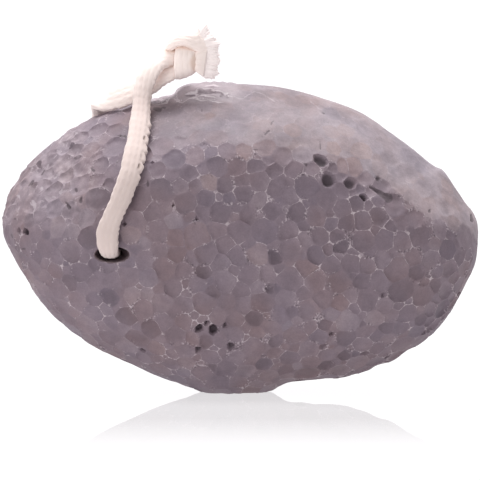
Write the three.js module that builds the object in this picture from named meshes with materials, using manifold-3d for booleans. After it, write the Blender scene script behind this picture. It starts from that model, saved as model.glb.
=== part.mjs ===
// Drilled pumice foot stone on a knotted cotton hanging cord.
// Millimetres, +Z up. The stone stands on the flattened spot of its lower edge.
// +X runs along the stone, the flatter working face looks toward -Y, and the origin is under the
// stone's middle, on the surface that it stands on.

import * as THREE from 'three';
import { mergeVertices } from 'three/addons/utils/BufferGeometryUtils.js';
import Module from 'manifold-3d';

const manifold = await Module();
manifold.setup();

// ---- Driving dimensions ----

// Stone
const STONE_LENGTH = 100;
const STONE_THICKNESS = 42;
const STONE_HEIGHT = 65;
const FOOT_CUT = 2.7; // how much of the rounded lower edge is worn away to the flat it stands on
const MIDDLE_HEIGHT = 32; // height of the point that the stone's shape is laid out around
const ROUNDNESS = 2.15; // 2 would be an ellipse in section, more is boxier
const HALF_SWELL = 23.5; // half thickness before the worn faces are taken off
const WEAR_SHARPNESS = 14; // how crisply the worn faces meet
const STEPS_AROUND = 76;
const STEPS_ACROSS = 32;
const OUTLINE_SAMPLES = 720;

// Cord hole, drilled through from face to face
const HOLE_X = -26.5;
const HOLE_Z = 29;
const HOLE_WIDTH = 7.1;
const HOLE_HEIGHT = 4.8;
const HOLE_SIDES = 22;

// Cord, a flat knitted cotton tape
const CORD_WIDTH = 4.2;
const CORD_THICKNESS = 2.2;
const CORD_SIDES = 10;
const CORD_STEPS = 72;

// Knot that ties both strands together, with the two frayed ends beyond it
const KNOT_CENTRE = [-11.7, -4.2, 70];
const KNOT_HALF_SIZE = [3.9, 3.5, 4.5];
const UPPER_END_TIP = [-6.6, -4.2, 76];
const LOWER_END_TIP = [-4.2, -4, 68.2];
const END_RADIUS_IN_KNOT = 1.5;
const END_RADIUS_AT_TIP = 2.7;
const END_SIDES = 10;

// ---- Stone ----

// Outline seen from the working face, [x, z], from the right tip round by the foot.
const OUTLINE = [
  [50, 34.5],
  [49.6, 28],
  [45.6, 19.4],
  [39.6, 11.2],
  [31, 6],
  [18, 2.9],
  [12, 1.6],
  [8.4, -1.1],
  [4.5, -2.6],
  [-3, -2.7],
  [-9, -1.2],
  [-15, 2],
  [-23, 5.2],
  [-30, 9.2],
  [-40, 17.4],
  [-47.2, 27.7],
  [-50, 36.4],
  [-48.3, 42.6],
  [-42, 50.2],
  [-33, 56.4],
  [-24, 59.8],
  [-15.5, 61.6],
  [-10.5, 64],
  [-3, 65],
  [8, 63.4],
  [18, 61.4],
  [25.6, 59],
  [32.8, 54.8],
  [39.6, 48.2],
  [46, 41.2],
];

// Faces worn on the pebble: the way each one looks, and how far it lies from the middle.
const WORN_FACES = [
  { looks: [0.03, -0.99, -0.1], reach: 20.6 }, // working face
  { looks: [-0.04, -0.6, 0.8], reach: 27.8 }, // its upper bevel
  { looks: [0.47, -0.58, 0.67], reach: 31.4 }, // bevel toward the right tip
  { looks: [-0.5, -0.6, 0.62], reach: 33.2 }, // bevel toward the left tip
  { looks: [0.15, -0.72, -0.68], reach: 28.2 }, // underside of the working face
  { looks: [-0.05, 0.99, 0.08], reach: 20.8 }, // back
  { looks: [0.12, 0.66, 0.74], reach: 28.4 }, // upper bevel of the back
  { looks: [0.1, 0.7, -0.7], reach: 28.4 }, // underside of the back
  { looks: [-0.66, 0.62, -0.42], reach: 35.5 }, // left end of the back
];

// Low lumps left by the foaming: waves per turn along each axis, and how high they stand.
const LUMPS = [
  { along: [0.19, 0.07, 0.11], phase: 0.4, height: 0.0065 },
  { along: [-0.08, 0.21, 0.17], phase: 2.1, height: 0.0055 },
  { along: [0.13, -0.16, 0.26], phase: 4.4, height: 0.0045 },
];

// The outline as a distance from the middle for any heading.
function makeOutlineReach() {
  const points = OUTLINE.map(([x, z]) => new THREE.Vector3(x, 0, z - MIDDLE_HEIGHT));
  const samples = new THREE.CatmullRomCurve3(points, true, 'centripetal')
    .getPoints(OUTLINE_SAMPLES)
    .map((p) => ({ heading: Math.atan2(p.z, p.x), reach: Math.hypot(p.x, p.z) }))
    .sort((a, b) => a.heading - b.heading);
  const first = samples[0];
  const last = samples[samples.length - 1];
  samples.unshift({ heading: last.heading - 2 * Math.PI, reach: last.reach });
  samples.push({ heading: first.heading + 2 * Math.PI, reach: first.reach });
  return (heading) => {
    const next = samples.findIndex((s) => s.heading > heading);
    const low = samples[next - 1];
    const high = samples[next];
    const share = (heading - low.heading) / (high.heading - low.heading);
    return THREE.MathUtils.lerp(low.reach, high.reach, share);
  };
}

// How far the stone reaches from its middle in one direction: the rounded pebble and its worn
// faces are blended, so that the faces meet in soft edges.
function makeStoneReach() {
  const outlineReach = makeOutlineReach();
  const faces = WORN_FACES.map(({ looks, reach }) => ({
    normal: new THREE.Vector3(...looks).normalize(),
    reach,
  }));
  return (direction) => {
    const flat = Math.hypot(direction.x, direction.z);
    const round = outlineReach(Math.atan2(direction.z, direction.x));
    const pebble = Math.pow(
      Math.pow(flat / round, ROUNDNESS) + Math.pow(Math.abs(direction.y) / HALF_SWELL, ROUNDNESS),
      1 / ROUNDNESS,
    );
    let sum = Math.pow(pebble, WEAR_SHARPNESS);
    for (const { normal, reach } of faces) {
      const cut = Math.max(0, normal.dot(direction) / reach);
      sum += Math.pow(cut, WEAR_SHARPNESS);
    }
    return 1 / Math.pow(sum, 1 / WEAR_SHARPNESS);
  };
}

function lumpsAt(point) {
  let swell = 1;
  for (const { along, phase, height } of LUMPS) {
    swell += height * Math.sin(point.dot(new THREE.Vector3(...along)) + phase);
  }
  return swell;
}

// Stretches the blank to the stone's size and wears its lowest edge flat.
function fitToSize(geometry) {
  geometry.computeBoundingBox();
  const { min, max } = geometry.boundingBox;
  const size = new THREE.Vector3().subVectors(max, min);
  const position = geometry.attributes.position;
  for (let i = 0; i < position.count; i++) {
    const x = ((position.getX(i) - min.x) / size.x - 0.5) * STONE_LENGTH;
    const y = ((position.getY(i) - min.y) / size.y - 0.5) * STONE_THICKNESS;
    const z = ((position.getZ(i) - min.z) / size.z) * (STONE_HEIGHT + FOOT_CUT) - FOOT_CUT;
    position.setXYZ(i, x, y, Math.max(z, 0));
  }
}

function makeStoneBlank() {
  const stoneReach = makeStoneReach();
  const geometry = new THREE.SphereGeometry(1, STEPS_AROUND, STEPS_ACROSS);
  const position = geometry.attributes.position;
  const direction = new THREE.Vector3();
  for (let i = 0; i < position.count; i++) {
    direction.fromBufferAttribute(position, i).normalize();
    const point = direction.clone().multiplyScalar(stoneReach(direction));
    point.multiplyScalar(lumpsAt(point));
    position.setXYZ(i, point.x, point.y, point.z);
  }
  fitToSize(geometry);
  return geometry;
}

// ---- Solids ----

function toSolid(geometry) {
  const bare = geometry.clone();
  bare.deleteAttribute('normal');
  bare.deleteAttribute('uv');
  const merged = mergeVertices(bare, 1e-4);
  return new manifold.Manifold(
    new manifold.Mesh({
      numProp: 3,
      vertProperties: new Float32Array(merged.attributes.position.array),
      triVerts: new Uint32Array(merged.index.array),
    }),
  );
}

function toGeometry(solid) {
  const { vertProperties, triVerts } = solid.getMesh();
  const geometry = new THREE.BufferGeometry();
  geometry.setAttribute('position', new THREE.BufferAttribute(new Float32Array(vertProperties), 3));
  geometry.setIndex(new THREE.BufferAttribute(new Uint32Array(triVerts), 1));
  geometry.computeVertexNormals();
  return geometry;
}

function makeStone() {
  const drill = new THREE.CylinderGeometry(0.5, 0.5, 2 * STONE_THICKNESS, HOLE_SIDES);
  drill.scale(HOLE_WIDTH, 1, HOLE_HEIGHT);
  drill.translate(HOLE_X, 0, HOLE_Z);
  return toGeometry(toSolid(makeStoneBlank()).subtract(toSolid(drill)));
}

// ---- Cord ----

// Middle line of the cord, [x, y, z]: from the knot down the working face, through the hole, up
// the back, over the shoulder and along the top edge into the knot again.
const CORD_ROUTE = [
  [-17, -5.2, 68.8],
  [-18.6, -5.6, 66.8],
  [-19.9, -6.2, 64],
  [-20.4, -7.4, 61.1],
  [-20.7, -9.6, 58.5],
  [-21.1, -12.6, 55.8],
  [-21.6, -15.7, 52.8],
  [-22.2, -18.6, 49.8],
  [-23, -20.6, 46.3],
  [-24.7, -21.6, 41.5],
  [-26, -21.6, 38.2],
  [-27, -21.4, 35.3],
  [-27.3, -21.3, 32.8],
  [-27.4, -20.9, 30.4],
  [-27.4, -19.2, 29],
  [-27.45, -14, 28.9],
  [-27.45, 0, 28.9],
  [-27.45, 13, 28.9],
  [-27.45, 18.2, 29],
  [-27.5, 19.9, 30.5],
  [-27.6, 20.1, 33],
  [-27.9, 19.8, 36.5],
  [-28.4, 19.3, 40],
  [-29, 18.5, 44],
  [-29.8, 17.2, 48],
  [-30.7, 14.8, 52],
  [-31.4, 11.4, 55.5],
  [-31.6, 7.6, 57.9],
  [-31, 3.6, 59.4],
  [-29.4, 0.8, 60.2],
  [-27, -0.9, 61],
  [-24.4, -1.7, 62.1],
  [-21.8, -2, 63.3],
  [-19.2, -2.2, 64.6],
  [-16.9, -2.6, 66.3],
];

// The cord's flat side faces this point all the way round.
const LOOP_MIDDLE = new THREE.Vector3(-25, 6, 45);

// A path whose cross-section keeps its thin direction pointing away from the loop's middle.
class FlatCordPath extends THREE.CatmullRomCurve3 {
  computeFrenetFrames(segments) {
    const tangents = [];
    const normals = [];
    const binormals = [];
    for (let i = 0; i <= segments; i++) {
      const tangent = this.getTangentAt(i / segments);
      const outward = this.getPointAt(i / segments).sub(LOOP_MIDDLE);
      const normal = outward.addScaledVector(tangent, -outward.dot(tangent)).normalize();
      tangents.push(tangent);
      normals.push(normal);
      binormals.push(new THREE.Vector3().crossVectors(tangent, normal));
    }
    return { tangents, normals, binormals };
  }
}

function makeCordLoop() {
  const points = CORD_ROUTE.map((p) => new THREE.Vector3(...p));
  const path = new FlatCordPath(points, false, 'centripetal');
  const corners = [];
  for (let i = 0; i < CORD_SIDES; i++) {
    const angle = (2 * Math.PI * i) / CORD_SIDES;
    const across = (Math.cos(angle) * CORD_THICKNESS) / 2;
    const along = (Math.sin(angle) * CORD_WIDTH) / 2;
    corners.push(new THREE.Vector2(across, along));
  }
  const section = new THREE.Shape(corners);
  const tube = new THREE.ExtrudeGeometry(section, { steps: CORD_STEPS, extrudePath: path });
  return toGeometry(toSolid(tube));
}

// One frayed end: a cone that widens from inside the knot to the fibres' tips.
function makeEnd(tip, tipRadius) {
  const start = new THREE.Vector3(...KNOT_CENTRE);
  const along = new THREE.Vector3(...tip).sub(start);
  const cone = new THREE.CylinderGeometry(tipRadius, END_RADIUS_IN_KNOT, along.length(), END_SIDES);
  cone.translate(0, along.length() / 2, 0);
  const turn = new THREE.Quaternion().setFromUnitVectors(
    new THREE.Vector3(0, 1, 0),
    along.clone().normalize(),
  );
  cone.applyQuaternion(turn);
  cone.translate(start.x, start.y, start.z);
  return toSolid(cone);
}

function makeKnot() {
  const ball = new THREE.SphereGeometry(1, 18, 12);
  ball.scale(...KNOT_HALF_SIZE);
  ball.translate(...KNOT_CENTRE);
  const upperEnd = makeEnd(UPPER_END_TIP, END_RADIUS_AT_TIP);
  const lowerEnd = makeEnd(LOWER_END_TIP, END_RADIUS_AT_TIP);
  return toGeometry(toSolid(ball).add(upperEnd).add(lowerEnd));
}

// ---- Object ----

const group = new THREE.Group();

function addPiece(name, geometry, color, roughness) {
  const material = new THREE.MeshStandardMaterial({ color, roughness, metalness: 0 });
  const piece = new THREE.Mesh(geometry, material);
  piece.name = name;
  group.add(piece);
}

addPiece('stone', makeStone(), 0x85797f, 0.8);
addPiece('cord_loop', makeCordLoop(), 0xecdfd8, 0.95);
addPiece('cord_knot', makeKnot(), 0xecdfd8, 0.95);

export default group;
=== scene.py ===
import math

import bmesh
import bpy
import numpy as np
from numpy.linalg import norm
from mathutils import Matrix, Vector


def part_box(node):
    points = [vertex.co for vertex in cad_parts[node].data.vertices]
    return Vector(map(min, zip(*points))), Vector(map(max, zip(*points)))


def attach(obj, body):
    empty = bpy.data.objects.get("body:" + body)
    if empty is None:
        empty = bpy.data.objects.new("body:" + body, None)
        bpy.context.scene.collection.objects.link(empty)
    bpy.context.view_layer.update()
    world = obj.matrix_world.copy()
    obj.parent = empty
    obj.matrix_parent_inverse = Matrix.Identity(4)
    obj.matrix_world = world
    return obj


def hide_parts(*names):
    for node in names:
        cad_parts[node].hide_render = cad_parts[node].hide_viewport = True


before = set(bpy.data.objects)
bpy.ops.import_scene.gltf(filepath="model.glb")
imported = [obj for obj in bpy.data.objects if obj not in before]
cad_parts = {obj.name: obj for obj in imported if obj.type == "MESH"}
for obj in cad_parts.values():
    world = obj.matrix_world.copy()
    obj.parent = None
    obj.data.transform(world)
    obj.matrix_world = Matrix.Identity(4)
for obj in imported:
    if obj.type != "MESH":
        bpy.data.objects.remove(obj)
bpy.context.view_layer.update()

MM = 0.001  # sizes are written in millimetres, and meshes are made in metres


# --------------------------------------------------------------
# The stone: one piece of foamed volcanic glass, tumbled to a pebble and worn to soft faces.
# Cutting it opened the gas bubbles, so its skin is a net of thin broken walls round shallow
# dishes, with a few deep open pores, and the cord hole is drilled straight through.
# --------------------------------------------------------------

stone_low, stone_high = (np.array(corner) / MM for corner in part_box("stone"))

FOOT_CUT = 1.6  # worn off the lowest edge, which makes the flat that the stone stands on
MIDDLE_HEIGHT = 32
ROUNDNESS = 2.15  # 2 is an ellipse from edge to edge, and more is fuller
HALF_SWELL = 23.5  # half the thickness before the faces are worn
WEAR_SHARPNESS = 14  # how crisp the ridges between the worn faces are

# Outline seen from the working face, (x, z), from the right tip round by the foot.
OUTLINE = [
    (50, 35.8), (50, 31.8), (48.8, 26.8), (46, 22), (44.4, 18.6), (42.3, 14.6), (38.8, 10.3),
    (35, 8.3), (31.3, 6.1), (28.6, 5.5), (26.5, 4.4), (23.8, 3.5), (21.8, 2.8), (17, 2.3),
    (13, 1.8), (10.4, 1.4), (8.6, 0.6), (6.6, -0.6), (3, -1.6), (-3, -1.6), (-6.4, -0.6),
    (-9.5, 0.7), (-12.5, 1.7), (-17.4, 3.3), (-21.7, 5.2), (-27.6, 7.8), (-32, 10.4),
    (-40, 17.2), (-47.2, 27.2), (-50, 33.6), (-49, 39.8), (-46.3, 44.4), (-42.3, 48.9),
    (-34, 56), (-24, 59.3), (-19, 60.7), (-15.6, 61), (-13.6, 61.7), (-12.3, 63.6), (-10.6, 64.6),
    (-7, 65), (-3, 65), (8, 64), (18, 61.1), (25.6, 58.3), (32.6, 53.4), (37.8, 49.3),
    (41, 46.7), (42.6, 46.2), (44.4, 43.6), (47, 39.9),
]

# Faces worn on the pebble: the way each one looks, and how far it lies from the middle.
WORN_FACES = [
    ((0.03, -0.99, -0.1), 20.6),
    ((-0.04, -0.6, 0.8), 27.8),
    ((0.47, -0.58, 0.67), 31.4),
    ((-0.5, -0.6, 0.62), 33.2),
    ((0.15, -0.72, -0.68), 28.2),
    ((-0.05, 0.99, 0.08), 20.8),
    ((0.12, 0.66, 0.74), 28.4),
    ((0.1, 0.7, -0.7), 28.4),
    ((-0.66, 0.62, -0.42), 35.5),
]

# Low lumps left by the foaming: waves along each axis, phase, and height.
LUMPS = [
    ((0.19, 0.07, 0.11), 0.4, 0.0065),
    ((-0.08, 0.21, 0.17), 2.1, 0.0055),
    ((0.13, -0.16, 0.26), 4.4, 0.0045),
]


def step_between(start, end, t_start, t_end, t):
    """The places at each t on a straight line from start to end."""
    return (t_end - t) / (t_end - t_start) * start + (t - t_start) / (t_end - t_start) * end


def smooth_line(points, steps, closed=False):
    """A centripetal Catmull-Rom line through the points, with that many steps to a span."""
    points = np.array(points, float)
    if closed:
        points = np.vstack([points[-1:], points, points[:2]])
    else:
        first = 2 * points[:1] - points[1:2]
        last = 2 * points[-1:] - points[-2:-1]
        points = np.vstack([first, points, last])
    line = []
    for p0, p1, p2, p3 in zip(points, points[1:], points[2:], points[3:]):
        place = 3 if len(p0) > 2 else 2
        gaps = [norm((b - a)[:place]) ** 0.5 for a, b in ((p0, p1), (p1, p2), (p2, p3))]
        t0, t1, t2, t3 = np.cumsum([0] + gaps)
        t = np.linspace(t1, t2, steps, endpoint=False)[:, None]
        a1 = step_between(p0, p1, t0, t1, t)
        a2 = step_between(p1, p2, t1, t2, t)
        a3 = step_between(p2, p3, t2, t3, t)
        b1 = step_between(a1, a2, t0, t2, t)
        b2 = step_between(a2, a3, t1, t3, t)
        line.append(step_between(b1, b2, t1, t2, t))
    if not closed:
        line.append(points[-2:-1])
    return np.vstack(line)


def stone_reach(direction):
    """How far the stone reaches from its middle along each unit vector."""
    rim = smooth_line(OUTLINE, 24, closed=True) - (0, MIDDLE_HEIGHT)
    heading = np.arctan2(direction[:, 2], direction[:, 0])
    rim_reach = np.hypot(rim[:, 0], rim[:, 1])
    rim_heading = np.arctan2(rim[:, 1], rim[:, 0])
    round_reach = np.interp(heading, rim_heading, rim_reach, period=2 * math.pi)
    flat = np.hypot(direction[:, 0], direction[:, 2]) / round_reach
    thick = np.abs(direction[:, 1]) / HALF_SWELL
    pebble = (flat**ROUNDNESS + thick**ROUNDNESS) ** (1 / ROUNDNESS)
    total = pebble**WEAR_SHARPNESS
    for looks, reach in WORN_FACES:
        normal = np.array(looks) / norm(looks)
        total += np.clip(direction @ normal / reach, 0, None) ** WEAR_SHARPNESS
    return total ** (-1 / WEAR_SHARPNESS)


def stone_surface(direction):
    """Points on the stone before its cells are opened, in millimetres."""
    point = direction * stone_reach(direction)[:, None]
    swell = 1 + sum(h * np.sin(point @ np.array(along) + turn) for along, turn, h in LUMPS)
    point *= swell[:, None]
    low = point.min(0)
    share = (point - low) / (point.max(0) - low)
    bottom = stone_low - (0, 0, FOOT_CUT)
    point = bottom + share * (stone_high - bottom)
    point[:, 2] = np.maximum(point[:, 2], 0)
    return point


VIEW_DISTANCE = 900
VIEW_LEAN = math.radians(3)
VIEW_HEIGHT = 31.9


def drawn(points):
    """Where points lie on a drawing of the working face, made from far off and a little above."""
    x, y, z = points.T
    up = (z - VIEW_HEIGHT) * math.cos(VIEW_LEAN) + y * math.sin(VIEW_LEAN)
    away = y * math.cos(VIEW_LEAN) - (z - VIEW_HEIGHT) * math.sin(VIEW_LEAN)
    scale = VIEW_DISTANCE / (VIEW_DISTANCE + away)
    return np.stack([x * scale, VIEW_HEIGHT + up * scale], 1)


def new_object(name, points, faces):
    """An object from points in millimetres and faces as lists of point numbers."""
    mesh = bpy.data.meshes.new(name)
    mesh.from_pydata((np.asarray(points) * MM).tolist(), [], [list(f) for f in faces])
    mesh.validate()
    piece = bpy.data.objects.new(name, mesh)
    bpy.context.scene.collection.objects.link(piece)
    return piece


def applied(piece):
    """The piece's mesh with its modifiers applied, as arrays: points, normals, face corners."""
    graph = bpy.context.evaluated_depsgraph_get()
    mesh = piece.evaluated_get(graph).to_mesh()
    points, normals = np.empty((2, len(mesh.vertices) * 3), np.float32)
    mesh.vertices.foreach_get("co", points)
    mesh.vertices.foreach_get("normal", normals)
    faces = [tuple(f.vertices) for f in mesh.polygons]
    piece.to_mesh_clear()
    return points.reshape(-1, 3) / MM, normals.reshape(-1, 3), faces


HOLE_X, HOLE_Z = -26.3, 29.9
HOLE_WIDTH, HOLE_HEIGHT = 7.4, 3.3
SKIN_STEP = 0.48  # spacing of the fine skin that the cells are cut into


def ball(subdivisions):
    """Unit directions and faces of an icosphere."""
    form = bmesh.new()
    bmesh.ops.create_icosphere(form, subdivisions=subdivisions, radius=1)
    points = np.array([v.co[:] for v in form.verts])
    faces = [[v.index for v in f.verts] for f in form.faces]
    form.free()
    return points / norm(points, axis=1)[:, None], faces


BLANK_SUBDIVISIONS = 7
directions, blank_faces = ball(BLANK_SUBDIVISIONS)
blank = new_object("stone_blank", stone_surface(directions), blank_faces)

# The hole is drilled from both faces and is tightest where the two bores meet: each ring's depth,
# its shift to the side, and its share of the full width and height.
BORE = [
    (-60, 0, 1, 1), (-18.4, 0, 1, 1), (-14.5, -0.1, 0.9, 0.9), (-11, -0.35, 0.58, 0.8),
    (11, -0.35, 0.58, 0.8), (15.5, -0.1, 0.8, 0.9), (18.4, 0, 1, 1), (60, 0, 1, 1),
]
BORE_SIDES = 64
bore_turns = np.arange(BORE_SIDES) * 2 * math.pi / BORE_SIDES
bore_rings = [
    np.stack([
        HOLE_X + shift + wide * HOLE_WIDTH / 2 * np.cos(bore_turns),
        np.full(BORE_SIDES, y),
        HOLE_Z + high * HOLE_HEIGHT / 2 * np.sin(bore_turns),
    ], 1)
    for y, shift, wide, high in BORE
]
last_ring = BORE_SIDES * (len(BORE) - 1)
bore_walls = [
    (low + i, low + BORE_SIDES + i, low + BORE_SIDES + (i + 1) % BORE_SIDES, low + (i + 1) % BORE_SIDES)
    for low in range(0, last_ring, BORE_SIDES)
    for i in range(BORE_SIDES)
]
bore_ends = [tuple(range(BORE_SIDES)), tuple(range(last_ring, last_ring + BORE_SIDES))[::-1]]
drill = new_object("drill", np.vstack(bore_rings), bore_walls + bore_ends)

cut = blank.modifiers.new("hole", "BOOLEAN")
cut.operation = "DIFFERENCE"
cut.solver = "MANIFOLD"
cut.object = drill
even = blank.modifiers.new("even", "REMESH")
even.mode = "VOXEL"
even.voxel_size = SKIN_STEP * MM
skin, outward, skin_faces = applied(blank)
bpy.data.objects.remove(blank)
bpy.data.objects.remove(drill)

random = np.random.default_rng(11)


def lattice_noise(points, size, seed):
    """Soft noise from 0 to 1 whose lumps are about size millimetres wide."""
    grid = np.random.default_rng(seed).random((32, 32, 32))
    place = np.asarray(points, float) / size + 100
    cell = np.floor(place).astype(int)
    t = place - cell
    t = t * t * (3 - 2 * t)
    value = 0
    for corner in np.ndindex(2, 2, 2):
        weight = np.prod(np.where(corner, t, 1 - t), axis=1)
        i, j, k = ((cell + corner) % 32).T
        value = value + weight * grid[i, j, k]
    return value


def ramp(value, start, end):
    """0 before start, 1 after end, and smooth between."""
    t = np.clip((value - start) / (end - start), 0, 1)
    return t * t * (3 - 2 * t)


def knobbly_at(points):
    """1 on the rough knobbly end beyond the hole, 0 elsewhere."""
    return ramp(-points[:, 0], 27, 36) * ramp(points[:, 2], 33, 40)


# The working face ends at a worn ridge, and the facet above it is rubbed smooth, with pale dust and painted
# sheen.
RIDGE_LINE = [
    (-50, 36), (-42, 43), (-33, 49), (-19, 51.5), (-2, 51), (17, 49.6), (31.5, 42.5), (40, 35.5),
    (50, 32),
]
ridge_x, ridge_z = np.array(RIDGE_LINE).T


def rubbed_at(points):
    """1 on the rubbed facets, 0 on the working faces."""
    x, z = drawn(points).T
    above = z - np.interp(x, ridge_x, ridge_z) + 4 * (lattice_noise(points, 6, 21) - 0.5)
    return ramp(above, -1, 2.5) * ramp(x, -27, -12)


# Cells that stand out on the working face: place on the drawing, radius, paleness from 0 to 1,
# warmth from -1 (blue) to 1 (brown), and depth.
FACE_CELLS = [
    (16.9, 48.7, 1.6, 0.4, 0, 0.9), (18.8, 44.4, 1.55, 0.4, 0, 1), (23.3, 43.8, 1.5, 0.4, 0.2, 0.85),
    (26.4, 40.6, 1, 0.5, 0, 1), (-44.8, 33.6, 0.95, 0.5, 0, 1.4), (-46.4, 33.9, 0.6, 0.5, 0, 0.9),
    (-8.7, 13.2, 0.85, 0.45, 0, 1.3), (-5.8, 12.9, 1, 0.45, 0, 1.5), (-6.9, 14.3, 0.5, 0.45, 0, 0.8),
    (-3.2, 13.8, 0.5, 0.45, 0, 0.8), (-8.9, 9, 0.7, 0.45, 0, 0.9), (-1.6, 9.5, 0.95, 0.4, 0, 0.9),
    (-20.4, 8.5, 0.6, 0.5, 0, 1), (-10.5, 34.7, 0.6, 0.5, 0.3, 0.9), (-8.9, 36, 0.55, 0.5, 0.3, 0.7),
    (-13.9, 38.9, 0.5, 0.5, 0, 0.7), (-24.4, 35, 0.7, 0.4, 0.2, 0.8), (-34.4, 36.3, 0.8, 0.4, 0.2, 0.3),
    (-18.3, 48.3, 0.5, 0.5, 0.2, 0.6),
    (7.3, 28.2, 1.6, 0.2, -0.1, 0.55), (5.9, 21.7, 0.85, 0.23, 0, 0.5), (3.4, 15.4, 1.8, 0.23, 0.1, 0.4),
    (17.7, 13.9, 1.4, 0.28, 0, 0.35), (19.3, 12.3, 0.55, 0.3, 0, 0.6), (7.7, 10.5, 1.5, 0.3, -0.1, 0.3),
    (17.4, 9.7, 1, 0.28, 0, 0.5), (22.2, 7.6, 1.6, 0.28, 0, 0.4), (18.2, 5.4, 1.6, 0.28, -0.1, 0.4),
    (22.2, 11.1, 2.1, 0.33, 0, 0.3), (34.1, 21.3, 2.7, 0.28, 0, 0.4), (37.3, 25.4, 1.8, 0.28, 0, 0.35),
    (26.7, 19.3, 2.4, 0.33, 0, 0.3), (29.9, 20.2, 0.6, 0.3, 0, 0.5), (40.8, 22.6, 1.7, 0.33, 0, 0.3),
    (37.9, 15, 1.6, 0.33, 0, 0.3), (30.9, 13.4, 1.6, 0.33, 0, 0.25), (22.5, 14.7, 2.5, 0.6, -0.5, 0.1),
    (13.8, 43, 2.6, 0.35, -0.4, 0.25), (7.4, 46.6, 1.45, 0.33, 0, 0.35), (12.1, 37.6, 2, 0.3, 0.3, 0.3),
    (6.7, 38.2, 1.9, 0.32, 0, 0.25), (13.7, 34.7, 1.2, 0.33, 0, 0.35), (5.3, 33.7, 2.7, 0.4, -0.4, 0.12),
    (22.2, 35.3, 1.8, 0.3, 0, 0.2), (20.2, 32.7, 1.3, 0.33, 0.1, 0.35), (21.5, 30.5, 1.35, 0.23, 0, 0.45),
    (18.3, 29.8, 1.1, 0.3, 0.6, 0.3), (29.2, 36.9, 2.2, 0.33, 0, 0.4), (24.7, 39.4, 1.7, 0.28, 0, 0.35),
    (3.6, 28.8, 2.3, 0.6, 0.9, 0.1), (-13.9, 48.8, 2.4, 0.3, -0.6, 0.3), (-9.6, 49.6, 2.2, 0.55, 0.8, 0.15),
    (-4.9, 47.8, 2.2, 0.35, -0.5, 0.3), (-3.2, 43.4, 1.9, 0.36, 0, 0.35), (-6.2, 43.8, 1.6, 0.65, 0.8, 0.1),
    (-29.8, 40.5, 2.8, 0.23, 0, 0.35), (-21.4, 40.6, 2.6, 0.36, 0, 0.3), (-16.3, 42.4, 2.5, 0.35, 0, 0.2),
    (-11.8, 39.8, 2.3, 0.36, 0, 0.2), (-4.3, 37.9, 2.3, 0.34, 0, 0.3), (-9.2, 32.8, 2.9, 0.55, 0.9, 0.15),
    (-7.3, 29.2, 2.4, 0.36, 0.2, 0.25), (-7.8, 25.1, 1.5, 0.26, 0.3, 0.5),
    (-6.9, 10.6, 1.5, 0.3, 0.5, 0.35),
    (-39.8, 48.6, 2.3, 0.28, 0, 0.5), (-29.3, 47.6, 2.2, 0.3, 0, 0.3), (-33.7, 25.4, 2.3, 0.4, 0, 0.2),
    (0.6, 50.6, 1.9, 0.55, 0.8, 0.15), (3.4, 47.5, 1.6, 0.35, -0.3, 0.3), (21.9, 47.2, 1.8, 0.6, 0.9, 0.15),
    (22, 55, 2, 0.6, 0.6, 0.15), (25.6, 50.6, 2.6, 0.7, 0.8, 0.08), (11.2, 54.9, 2.2, 0.65, 0.9, 0.1),
    (34.2, 35.3, 1.6, 0.5, 0.3, 0.2), (43.6, 29.6, 2.2, 0.35, -0.6, 0.2), (10.6, 23.7, 2.6, 0.45, 0.2, 0.1),
    (24, 47.3, 2.2, 0.55, 1, 0.1), (19.8, 51.2, 1.8, 0.6, 0.9, 0.1), (29.3, 46.9, 2, 0.6, 0.5, 0.1),
    (12.9, 2.3, 1.3, 0.18, 0.6, 0.8),
]
# The rest are scattered, big ones first and small ones in the gaps, as in a real foam: radius and
# the most of that size.
CELL_SIZES = [(2.6, 60), (2.25, 300), (1.9, 480), (1.5, 700), (1.1, 700), (0.75, 260)]
CELL_OVERLAP = 0.86  # neighbours press together until their middles are this close
DARK_SHARE = 0.06  # of the scattered cells
OPEN_SHARE = 0.06  # of the smallest ones that don't lie on the working face


def scatter_cells():
    """Each cell's middle, radius, paleness, warmth and depth."""
    clear = np.full(len(skin), np.inf)
    seen_x, seen_z = drawn(skin).T
    behind = np.where(outward[:, 1] < -0.15, 0, 1000)
    cells = []

    def place(seed, radius, *look):
        away = norm(skin - seed, axis=1) - CELL_OVERLAP * radius
        np.minimum(clear, away, out=clear)
        cells.append((*seed, radius, *look))

    for x, z, radius, *look in FACE_CELLS:
        nearest = np.argmin(np.hypot(seen_x - x, seen_z - z) + behind)
        place(skin[nearest], radius, *look)
    for radius, most in CELL_SIZES:
        for _ in range(most):
            free = np.flatnonzero(clear > CELL_OVERLAP * radius)
            if not len(free):
                break
            size = radius * random.uniform(0.9, 1.08)
            dark = random.random() < DARK_SHARE
            depth = size * random.uniform(0.05, 0.2)
            if dark:
                depth = size * random.uniform(0.15, 0.25)
            pale = random.uniform(0.22, 0.36) if dark else random.normal(0.48, 0.055)
            spot = random.choice(free)
            seed = skin[spot]
            region_share = knobbly_at(seed[None])[0] + rubbed_at(seed[None])[0]
            opened = radius < 1 and random.random() < OPEN_SHARE
            if opened and region_share < 0.3 and outward[spot, 1] > -0.3:
                depth = size
            place(seed, size, pale, random.normal(0, 0.3), depth)
    return np.array(cells)


cells = scatter_cells()
seeds = cells[:, :3]
cell_radius, cell_pale, cell_warmth, cell_depth = cells[:, 3:].T

WALL_WANDER = 0.35
WANDER_SIZE = 2.2


def wander(points):
    """The points shifted by soft noise, where their cells are looked up, so that walls wander."""
    shift = [lattice_noise(points, WANDER_SIZE, seed) - 0.5 for seed in (1, 2, 3)]
    return points + 2 * WALL_WANDER * np.stack(shift, 1)


def power(points, cells):
    """How deep each point lies in each of its cells: the lowest is the one it belongs to."""
    return ((points[:, None] - seeds[cells]) ** 2).sum(2) - cell_radius[cells] ** 2


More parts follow.
